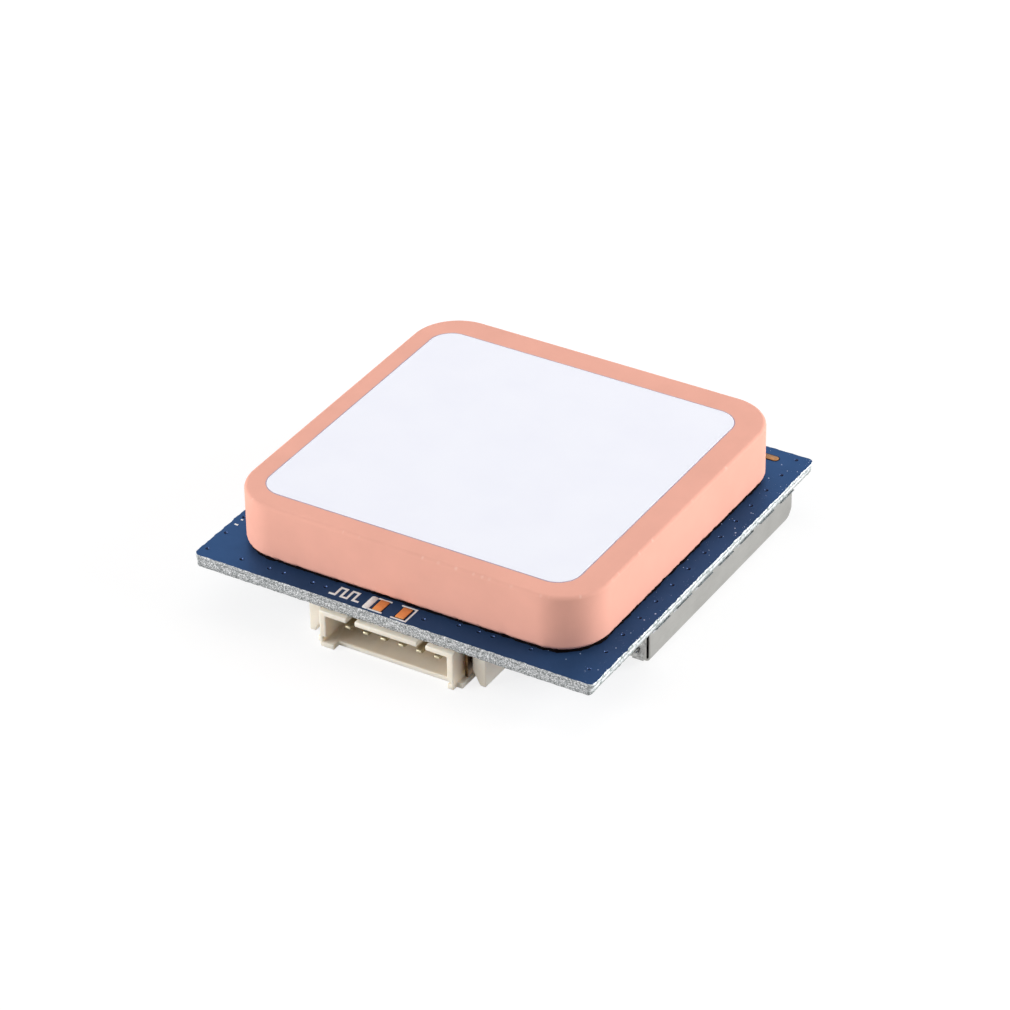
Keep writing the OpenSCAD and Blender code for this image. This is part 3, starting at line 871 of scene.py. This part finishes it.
def chip_part(bm, lo, hi):
    """A chip with a metal cap and solder at each end of its longer side."""
    body, cap, solder = 0, 1, 2
    cap_share, cap_t, body_r, cap_r = 0.24, 0.025, 0.03, 0.05
    along = 0 if hi.x - lo.x > hi.y - lo.y else 1
    size, middle = hi - lo, (lo + hi) / 2
    reach = cap_share * size[along]
    fillet_w, fillet = 0.94 * size[1 - along], (0.22, 0.6 * size.z)
    room = Vector((cap_t, cap_t, 0))
    room[along] = reach / 2
    soft_box(bm, lo + room + Vector((0, 0, cap_t)), hi - room, body_r, body)
    for sign, end in ((-1, lo[along]), (1, hi[along])):
        low, high = lo.copy(), hi.copy()
        low[along], high[along] = sorted((end, end - sign * reach))
        soft_box(bm, low, high, cap_r, cap)
        out, face = Vector((0, 0)), Vector(middle[:2])
        out[along], face[along] = sign, end
        section(bm, FILLET, face, out, fillet_w, fillet, solder)


def chips_piece(name, node, material, slot):
    """A row of chips, each with its caps and solder."""
    bm = bmesh.new()
    for lo, hi in solids(node):
        chip_part(bm, lo, hi)
    piece(name, bm, [material, TERMINAL, SOLDER], slot, node)


def resistors_piece():
    """Chip resistors: white bodies with a dark glaze on the outer face."""
    glaze, bare_share = 3, 0.26
    side_in, top_in, glaze_t, glaze_r = 0.03, 0.005, 0.05, 0.015
    bm = bmesh.new()
    for lo, hi in solids("signal_resistors"):
        chip_part(bm, lo, hi)
        bare = bare_share * (hi.y - lo.y)
        low = Vector((lo.x + side_in, lo.y + bare, lo.z + top_in))
        high = Vector((hi.x - side_in, hi.y - bare, lo.z + glaze_t))
        soft_box(bm, low, high, glaze_r, glaze)
    piece("resistors", bm, [CHIP_WHITE, TERMINAL, SOLDER, GLAZE], "chip_black", "signal_resistors")


def moulded_body(bm, lo, hi, draft):
    """A moulded body that tapers away from the line where its mould parts."""
    corner_r, edge, parting, upper_draft = 0.06, 0.05, lo.z + 0.6 * (hi.z - lo.z), 0.7 * draft
    rings = []
    for inset, z in ((draft + edge, lo.z), (draft, lo.z + edge), (0, parting), (upper_draft, hi.z)):
        room = Vector((inset, inset, 0))
        rings.append(ring(bm, rounded_loop(lo + room, hi - room, corner_r, WHOLE_SIDE), 0, z))
    skin(bm, rings)


def regulator_piece():
    """The regulator: a tapered body, with bent leads on two sides and solder at their feet."""
    lead, solder = 1, 2
    body_draft, foot = 0.09, (0.2, LEAD_T)
    lo, hi = box("regulator")
    middle = (lo + hi) / 2
    half = hi.y - middle.y - LEAD_REACH
    bm = bmesh.new()
    low = Vector((lo.x, middle.y - half, lo.z))
    high = Vector((hi.x, middle.y + half, hi.z - LEAD_T))
    moulded_body(bm, low, high, body_draft)
    for sign, places in ((-1, (-1, 0, 1)), (1, (-1, 1))):
        out = Vector((0, sign))
        for k in places:
            side = Vector((middle.x + k * LEAD_PITCH, middle.y + sign * half))
            section(bm, LEAD, side, out, LEAD_W, material=lead)
            section(bm, FILLET, side + out * LEAD_REACH, out, LEAD_W, foot, solder)
    piece("regulator_part", bm, [MOULDED, TERMINAL, SOLDER], "chip_black", "regulator")


def diode_piece():
    """The diode: a tapered body with a lead at each end and a pale band near one of them."""
    lead, solder, band = 1, 2, 3
    body_draft, standoff, foot = 0.06, 0.05, (0.18, 0.12)
    lo, hi = box("surge_diode")
    middle_y = (lo.y + hi.y) / 2
    bm = bmesh.new()
    low = Vector((lo.x + SHORT_REACH, lo.y, lo.z))
    high = Vector((hi.x - SHORT_REACH, hi.y, hi.z - standoff))
    moulded_body(bm, low, high, body_draft)
    for sign, x in ((-1, low.x), (1, high.x)):
        out = Vector((sign, 0))
        side = Vector((x, middle_y))
        section(bm, SHORT_LEAD, side, out, SHORT_LEAD_W, material=lead)
        section(bm, FILLET, side + out * SHORT_REACH, out, SHORT_LEAD_W, foot, solder)
    band_x, band_w, band_in, proud, sunk, band_r = low.x + 0.2, 0.18, 0.12, 0.004, 0.03, 0.002
    band_low = Vector((band_x, lo.y + band_in, lo.z - proud))
    band_high = Vector((band_x + band_w, hi.y - band_in, lo.z + sunk))
    soft_box(bm, band_low, band_high, band_r, band)
    piece("diode", bm, [MOULDED, TERMINAL, SOLDER, CHIP_WHITE], "chip_black", "surge_diode")


def flat_chip_piece(name, node, per_side):
    """A flat chip: a moulded body, contact lands along its four sides and a dot by one corner."""
    lo, hi = box(node)
    land, mark = 1, 2
    body_draft, proud = 0.02, 0.012
    land_t, land_share, land_r = 0.12, 0.08, 0.01
    dot_r, dot_t = 0.05 * min(hi.x - lo.x, hi.y - lo.y), 0.004
    dot_in = 4 * dot_r
    bm = bmesh.new()
    room = Vector((proud, proud, 0))
    moulded_body(bm, lo + room, hi - room, body_draft)
    for axis in (0, 1):
        along = 1 - axis
        pitch = (hi[along] - lo[along]) / per_side
        land_in = land_share * (hi[axis] - lo[axis])
        for k in range(per_side):
            for start in (lo[axis], hi[axis] - land_in):
                low, high = lo.copy(), hi.copy()
                low[along] += (k + 0.25) * pitch
                high[along] = low[along] + 0.5 * pitch
                low[axis], high[axis] = start, start + land_in
                low.z = hi.z - land_t
                soft_box(bm, low, high, land_r, land)
    dot = [(dot_r, lo.z - dot_t), (dot_r, lo.z + dot_t)]
    lathe(bm, lo.x + dot_in, lo.y + dot_in, dot, SMALL_STEPS, mark)
    piece(name, bm, [MOULDED, TERMINAL, CHIP_WHITE], "chip_black", node)


def lidded_piece(name, node, base, slot):
    """A ceramic package with a metal lid welded on it."""
    lo, hi = box(node)
    lid_share, lid_in, overlap, base_r, lid_r = 0.4, 0.08, 0.02, 0.03, 0.04
    seam = lo.z + lid_share * (hi.z - lo.z)
    bm = bmesh.new()
    soft_box(bm, Vector((lo.x, lo.y, seam)), hi, base_r)
    low = lo + Vector((lid_in, lid_in, 0))
    high = Vector((hi.x - lid_in, hi.y - lid_in, seam + overlap))
    lid = 1
    soft_box(bm, low, high, lid_r, lid)
    piece(name, bm, [base, CAN_STEEL], slot, node)


def cell_piece():
    """The backup cell: a cup crimped over a dark gasket, and a smaller cap."""
    lo, hi = box("backup_cell")
    middle, cup_r = (lo + hi) / 2, (hi.x - lo.x) / 2
    steel, rubber = 0, 1
    cap_share, step_share, crimp_gap = 0.75, 0.2, 0.17
    cap_r, step = cap_share * cup_r, lo.z + step_share * (hi.z - lo.z)
    crimp_r = cap_r + crimp_gap
    # Radius and height pairs
    cup = [
        (crimp_r - 0.04, step + 0.12), (crimp_r, step + 0.03), (crimp_r + 0.12, step),
        (cup_r - 0.12, step + 0.02), (cup_r - 0.02, step + 0.1), (cup_r, step + 0.2),
        (cup_r, hi.z - 0.06), (cup_r - 0.06, hi.z),
    ]
    seal = [(crimp_r - 0.02, step + 0.01), (crimp_r - 0.02, step + 0.14)]
    cap = [
        (cap_r - 0.25, lo.z), (cap_r - 0.1, lo.z + 0.01), (cap_r - 0.02, lo.z + 0.06),
        (cap_r, lo.z + 0.14), (cap_r + 0.04, step + 0.02), (cap_r + 0.04, step + 0.08),
    ]
    bm = bmesh.new()
    for profile, material in ((cup, steel), (seal, rubber), (cap, steel)):
        lathe(bm, middle.x, middle.y, profile, CELL_STEPS, material)
    piece("cell", bm, [CAN_STEEL, GASKET], "tinned_steel", "backup_cell")


def welds_piece():
    """Spot welds that hold the tab to the cell's cap."""
    lo, hi = box("cell_tab_cap")
    middle_x = (lo.x + hi.x) / 2
    # Radius, and height above the tab's lower face
    weld = [(0.05, 0.012), (0.1, -0.008), (0.15, -0.012), (0.18, 0), (0.19, 0.02)]
    bm = bmesh.new()
    for aside in (-0.35, 0.35):
        for from_back in (0.35, 1.0):
            profile = [(r, lo.z + h) for r, h in weld]
            lathe(bm, middle_x + aside, hi.y - from_back, profile, SMALL_STEPS)
    piece("tab_welds", bm, [SOLDER], "tinned_steel")


def solder_run(bm, x0, x1, y, z0, z1, material):
    """Lumpy solder that ran down a wall facing the front, with an uneven outline."""
    across, down, sink, swell = 28, 52, 0.02, 0.32
    lumps_per_mm, lump_stretch, lump_mean, lump_swing = 4.6, 0.7, 0.5, 1.2
    sway, sways_per_mm, narrowest, widening, steepness = 0.3, 2.1, 0.75, 3, 4
    middle, half = (x0 + x1) / 2, (x1 - x0) / 2
    rows = []
    for j in range(down + 1):
        v = j / down
        z = z0 + (z1 - z0) * v
        aside = sway * noise.noise(Vector((x0, 0, sways_per_mm * z)))
        reach = half * (narrowest + (1 - narrowest) * min(1, widening * v) + aside)
        row = []
        for i in range(across + 1):
            u = i / across
            fade = min(1, steepness * min(u, 1 - u, v, 1 - v))
            x = middle + reach * (2 * u - 1)
            at = Vector((x, y, lump_stretch * z)) * lumps_per_mm
            lump = max(0, lump_mean + lump_swing * noise.noise(at))
            row.append(bm.verts.new((x, y + sink - fade * (sink + swell * lump), z)))
        rows.append(row)
    for low, high in zip(rows, rows[1:]):
        for i in range(across):
            bm.faces.new((low[i], low[i + 1], high[i + 1], high[i])).material_index = material
    right, left = ([row[end] for row in rows[1:-1]] for end in (-1, 0))
    bm.faces.new((rows[0] + right + rows[-1][::-1] + left[::-1])[::-1]).material_index = material


def can_solder_piece():
    """The tinned strip under the can's walls, and the solder that holds the walls at a few places."""
    strip_t, strip_out, strip_in, corner_r = 0.03, -0.12, 0.35, 0.45
    per_wall, reach, widths, heights = 7, 0.28, (1.6, 2.3), (0.25, 0.4)
    fluxed, run_w, run_in, run_low, run_high = 1, 1, 0.25, 0.1, 0.05
    lo, hi = box("shield_can")
    bm = bmesh.new()
    loop = rounded_loop(lo, hi, corner_r, step=0.5)
    flat_band(bm, loop, strip_out, strip_in, UNDER_Z - strip_t, UNDER_Z)
    draw = random.Random(31)
    for k in range(per_wall):
        share = (k + 0.5) / per_wall
        x, y = lo.x + share * (hi.x - lo.x), lo.y + share * (hi.y - lo.y)
        walls = (((x, lo.y), (0, -1)), ((x, hi.y), (0, 1)), ((lo.x, y), (-1, 0)), ((hi.x, y), (1, 0)))
        for face, out in walls:
            width, height = draw.uniform(*widths), draw.uniform(*heights)
            section(bm, FILLET, Vector(face), Vector(out), width, (reach, height))
    for x in (lo.x + run_in, hi.x - run_in - run_w):
        solder_run(bm, x, x + run_w, lo.y, lo.z + run_low, UNDER_Z - run_high, fluxed)
    piece("can_solder", bm, [SOLDER, FLUXED], "solder")


def joints_piece():
    """Solder at the feet of the contacts and of the nails."""
    wider, pin_foot, nail_w, nail_foot = 0.06, (0.2, 0.16), 0.95, (0.3, 0.18)
    bm = bmesh.new()
    for name in CONTACTS:
        lo, hi = box(name)
        face = Vector(((lo.x + hi.x) / 2, hi.y))
        section(bm, FILLET, face, Vector((0, 1)), hi.x - lo.x + wider, pin_foot)
    for side, sign in (("left", -1), ("right", 1)):
        lo, hi = box("fitting_nail_" + side)
        face = Vector((hi.x if sign > 0 else lo.x, (lo.y + hi.y) / 2))
        section(bm, FILLET, face, Vector((sign, 0)), nail_w, nail_foot)
    piece("foot_solder", bm, [SOLDER], "solder")


def tracks_piece():
    """Tracks under the mask: from each contact by its resistor to the can, and between supply parts."""
    track_t, track_w, supply_w = 0.02, 0.22, 0.45
    under, under_foot, under_tab, to_end = 0.2, 0.4, 0.3, 0.6
    can_lo = box("shield_can")[0]
    bm = bmesh.new()
    for name, (lo, hi) in zip(CONTACTS, solids("signal_resistors")):
        x, foot = (lo.x + hi.x) / 2, box(name)[1].y
        for start, end in ((foot - under_foot, lo.y + under), (hi.y - under, can_lo.y + under)):
            stroke(bm, [(x, start), (x, end)], track_w, UNDER_Z - track_t, UNDER_Z)
    left, right = (sum(ends, Vector()) / 2 for ends in solids("supply_capacitors"))
    bead_lo, bead_hi = box("ferrite_bead")
    bead_y, diode_y = middle_of("ferrite_bead").y, middle_of("surge_diode").y
    middle_x, tab_y = middle_of("regulator").x, box("cell_tab_cap")[0].y
    for points in (
            [(bead_lo.x + under, bead_y), (left.x, bead_y), (left.x, left.y - to_end)],
            [(bead_hi.x - under, bead_y), (right.x, bead_y), (right.x, right.y - to_end)],
            [(left.x, left.y + to_end), (left.x, diode_y), (middle_x - to_end, diode_y)],
            [(right.x, right.y + to_end), (right.x, diode_y), (middle_x + to_end, diode_y)],
            [(middle_x, diode_y), (middle_x, tab_y + under_tab)],
            [(right.x + supply_w / 2, diode_y), (can_lo.x + under, diode_y)]):
        stroke(bm, points, supply_w, UNDER_Z - track_t, UNDER_Z)
    piece("tracks", bm, [TRACE], "board")


def outlines_piece():
    """White print on the underside: a line beside each end of the supply parts, and a ring round the cell."""
    print_w, print_t, gap, short, steps = 0.12, 0.035, 0.3, 0.1, 72
    bm = bmesh.new()
    for node in ("regulator", "ferrite_bead", "surge_diode"):
        lo, hi = box(node)
        for x in (lo.x - gap, hi.x + gap):
            stroke(bm, [(x, lo.y + short), (x, hi.y - short)], print_w, UNDER_Z - print_t, UNDER_Z)
    lo, hi = box("backup_cell")
    middle = (lo + hi) / 2
    loop = circle_loop(middle.x, middle.y, (hi.x - lo.x) / 2 + gap, steps)
    flat_band(bm, loop, 0, print_w, UNDER_Z - print_t, UNDER_Z)
    piece("outlines", bm, [INK], "board")


chips_piece("capacitors", "supply_capacitors", CHIP_TAN, "chip_ceramic")
chips_piece("bead", "ferrite_bead", CHIP_DARK, "chip_black")
resistors_piece()
regulator_piece()
diode_piece()
cell_piece()
welds_piece()
can_solder_piece()
joints_piece()
tracks_piece()
outlines_piece()
# Inside the can
flat_chip_piece("receiver", "receiver_chip", 10)
flat_chip_piece("memory", "memory_chip", 4)
flat_chip_piece("amplifier", "amplifier_chip", 2)
lidded_piece("oscillator", "clock_oscillator", CHIP_TAN, "tinned_steel")
lidded_piece("crystal", "watch_crystal", CHIP_TAN, "tinned_steel")
lidded_piece("filter", "saw_filter", CHIP_WHITE, "chip_ceramic")
chips_piece("coils", "matching_coils", CHIP_DARK, "chip_ceramic")
chips_piece("inner_capacitors", "bypass_capacitors", CHIP_TAN, "chip_ceramic")


# Solids under the antenna and in the board that keep their own shape

for node_name, material in (
        ("antenna_tape", TAPE_AND_SHADOW), ("antenna_ground", SILVER), ("feed_pin", PIN_METAL), ("feed_solder", SOLDER)):
    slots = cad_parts[node_name].data.materials
    slots.clear()
    slots.append(material)


# Camera, at the photograph's angle

CAMERA_AZIMUTH = math.radians(31.36)
CAMERA_ELEVATION = math.radians(33.048)
CAMERA_ROLL = math.radians(-0.961)
CAMERA_DISTANCE = 255.98
CAMERA_TARGET = Vector((1.337, -2.457, 5.4))
CLIP_START = 10
SENSOR_W = 36
FOCAL_PIXELS = 4213.9
IMAGE_PIXELS = 1010


def direction(azimuth, elevation):
    """Direction from the part to a place round it, with azimuth 0 in front and 90 degrees to the right."""
    flat = math.cos(elevation)
    return Vector((math.sin(azimuth) * flat, -math.cos(azimuth) * flat, math.sin(elevation)))


def add_camera():
    """The camera, where a fit of the photograph's perspective puts it."""
    back = direction(CAMERA_AZIMUTH, CAMERA_ELEVATION)
    level = Vector((0, 0, 1)).cross(back).normalized()
    upright = back.cross(level)
    right = level * math.cos(CAMERA_ROLL) + upright * math.sin(CAMERA_ROLL)
    up = upright * math.cos(CAMERA_ROLL) - level * math.sin(CAMERA_ROLL)
    data = bpy.data.cameras.new("camera")
    data.sensor_width = SENSOR_W
    data.lens = SENSOR_W * FOCAL_PIXELS / IMAGE_PIXELS
    data.clip_start = CLIP_START * MM
    camera = bpy.data.objects.new("camera", data)
    turn = Matrix((right, up, back)).transposed().to_4x4()
    camera.matrix_world = Matrix.Translation((CAMERA_TARGET + back * CAMERA_DISTANCE) * MM) @ turn
    bpy.context.scene.collection.objects.link(camera)
    bpy.context.scene.camera = camera


# Light and floor, in metres

LIGHT_DISTANCE = 0.3
# Light from all round, as a share of white
AMBIENT = 0.3
# Tone of the floor as the part sees it, and as the camera sees it under the floor's own glow
FLOOR_BOUNCE = 0.6
FLOOR_SHADE = 0.25
# Glow of the floor near the part. It rises to 1 between these distances, where the shadow ends
FLOOR_GLOW = 0.8
SHADOW_REACH = (0.05, 0.12)
FLOOR_HALF = 1.5
# Name, azimuth and elevation in degrees, width and height in metres, share of full light
SOFTBOXES = (
    ("front_light", -50, 14, 0.24, 0.2, 1.11),
    ("right_light", 119, 14, 0.24, 0.2, 1.29),
    ("back_light", 208, 48, 0.34, 0.3, 0.345),
)


def add_softbox(name, azimuth, elevation, width, height, share):
    """A soft lamp aimed at the part. At a share of 1, a white face turned to it renders about white."""
    data = bpy.data.lights.new(name, "AREA")
    data.shape = "RECTANGLE"
    data.size = width
    data.size_y = height
    data.energy = share * (math.pi * LIGHT_DISTANCE) ** 2
    lamp = bpy.data.objects.new(name, data)
    towards = direction(math.radians(azimuth), math.radians(elevation))
    lamp.location = CAMERA_TARGET * MM + towards * LIGHT_DISTANCE
    lamp.rotation_mode = "QUATERNION"
    lamp.rotation_quaternion = (-towards).to_track_quat("-Z", "Y")
    lamp.visible_camera = False
    bpy.context.scene.collection.objects.link(lamp)


def add_world():
    """White behind the part, and an even, weaker light all round it."""
    world = bpy.data.worlds.new("studio")
    world.use_nodes = True
    bpy.context.scene.world = world
    n = Nodes(world.node_tree)
    background = n.tree.nodes["Background"].inputs
    n.put(background["Color"], (1, 1, 1, 1))
    n.put(background["Strength"], n.spread(n.seen(), 0, 1, AMBIENT, 1))


def floor_finish():
    """White that keeps a soft shadow near the part."""
    f = Finish("white_floor", Roughness=1, Specular_IOR_Level=0, Emission_Color=(1, 1, 1, 1))
    seen = f.seen()
    f.set(Base_Color=f.spread(seen, 0, 1, FLOOR_BOUNCE, FLOOR_SHADE))
    away = f.add("VectorMath", {"operation": "LENGTH"})
    f.put(away.inputs[0], f.place)
    full = f.spread(away.outputs["Value"], *SHADOW_REACH, FLOOR_GLOW, 1)
    f.set(Emission_Strength=f.math("MULTIPLY", full, seen))
    return f.material


def add_floor():
    """A white floor that keeps the part's shadow."""
    corners = [(x * FLOOR_HALF, y * FLOOR_HALF, 0) for x, y in ((-1, -1), (1, -1), (1, 1), (-1, 1))]
    mesh = bpy.data.meshes.new("floor")
    mesh.from_pydata(corners, [], [(0, 1, 2, 3)])
    mesh.materials.append(floor_finish())
    floor = bpy.data.objects.new("floor", mesh)
    bpy.context.scene.collection.objects.link(floor)


add_camera()
for softbox in SOFTBOXES:
    add_softbox(*softbox)
add_world()
add_floor()
bpy.context.scene.view_settings.view_transform = "Standard"
